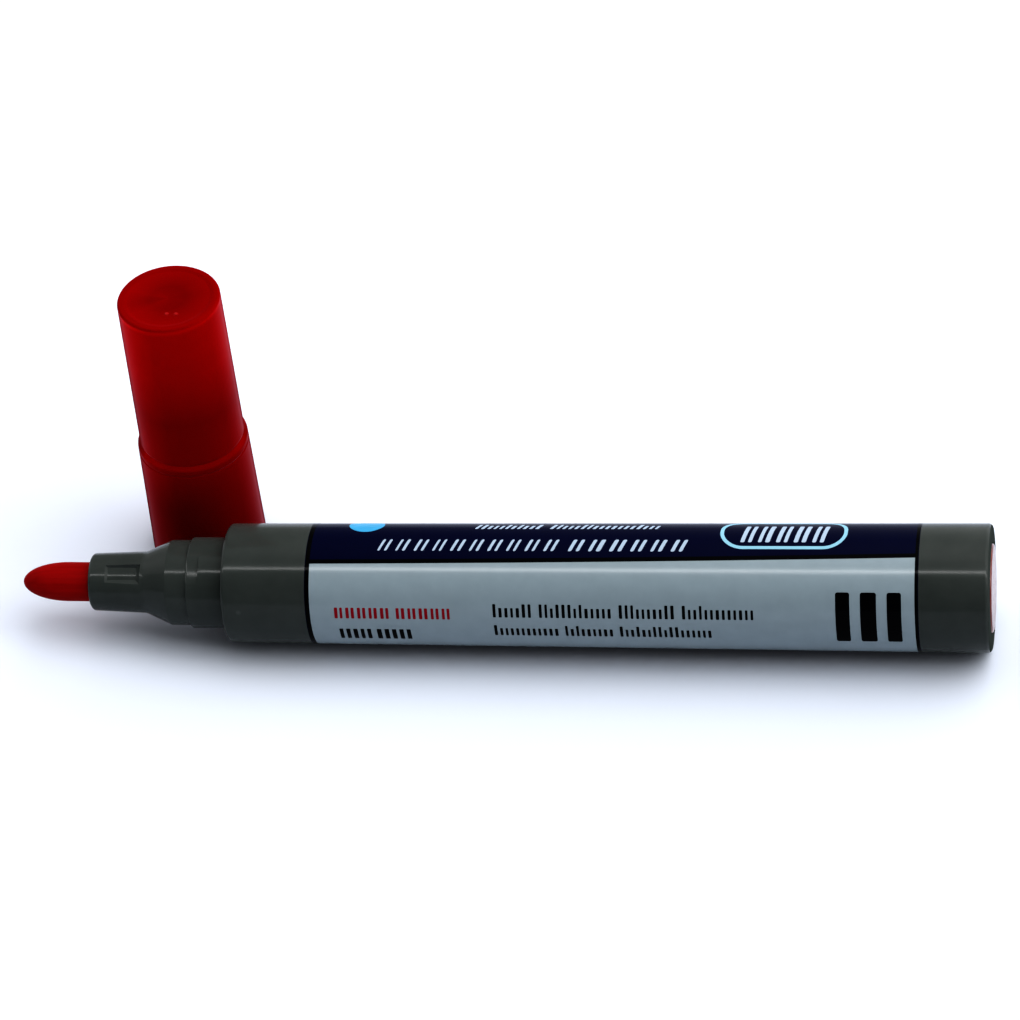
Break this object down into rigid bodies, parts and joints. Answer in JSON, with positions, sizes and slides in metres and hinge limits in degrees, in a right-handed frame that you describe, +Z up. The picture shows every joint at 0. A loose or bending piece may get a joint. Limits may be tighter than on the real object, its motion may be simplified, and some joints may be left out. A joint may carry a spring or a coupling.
{
  "type": "whiteboard marker",
  "caption": "Bullet-nib whiteboard marker lying on its side with its pulled-off translucent cap standing on its mouth behind the nose.",
  "frame": {"origin": "on the resting surface, under the middle of the whole object's box", "axes": "+X along the marker from the nib to the rear plug, +Y from the marker towards the standing cap, +Z up. The marker's axis rises to the rear by 0.3 degrees, because the tapered barrel rests on its lower side."},
  "size_m": [0.1308, 0.0336, 0.0433],
  "materials": {
    "grey_plastic": "satin-gloss moulded polypropylene, dark warm grey",
    "label_film": "printed gloss film, silver-grey panel with a navy band",
    "nib_fibre": "ink-soaked bonded fibre, red",
    "store_fibre": "ink-soaked fibre rod",
    "wrap_film": "thin milky film",
    "plug_plastic": "gloss moulded, red",
    "cap_plastic": "translucent red, gloss",
    "liner_plastic": "soft translucent inner cap"
  },
  "bodies": {
    "marker": {"barrel": "grey_plastic", "label": "label_film", "nose": "grey_plastic", "reservoir": "store_fibre", "reservoir_wrap": "wrap_film"},
    "nib": {"nib": "nib_fibre"},
    "rear_plug": {"rear_plug": "plug_plastic"},
    "cap": {"cap_shell": "cap_plastic", "cap_liner": "liner_plastic"}
  },
  "joints": [
    {"name": "cap_lift", "type": "slide", "parent": "marker", "child": "cap", "axis": [0, 0, 1], "range_m": [0, 0.07]},
    {"name": "nib_pull", "type": "slide", "parent": "marker", "child": "nib", "axis": [-1, 0, -0.0052], "range_m": [0, 0.036]},
    {"name": "plug_pull", "type": "slide", "parent": "marker", "child": "rear_plug", "axis": [1, 0, 0.0052], "range_m": [0, 0.012]}
  ]
}
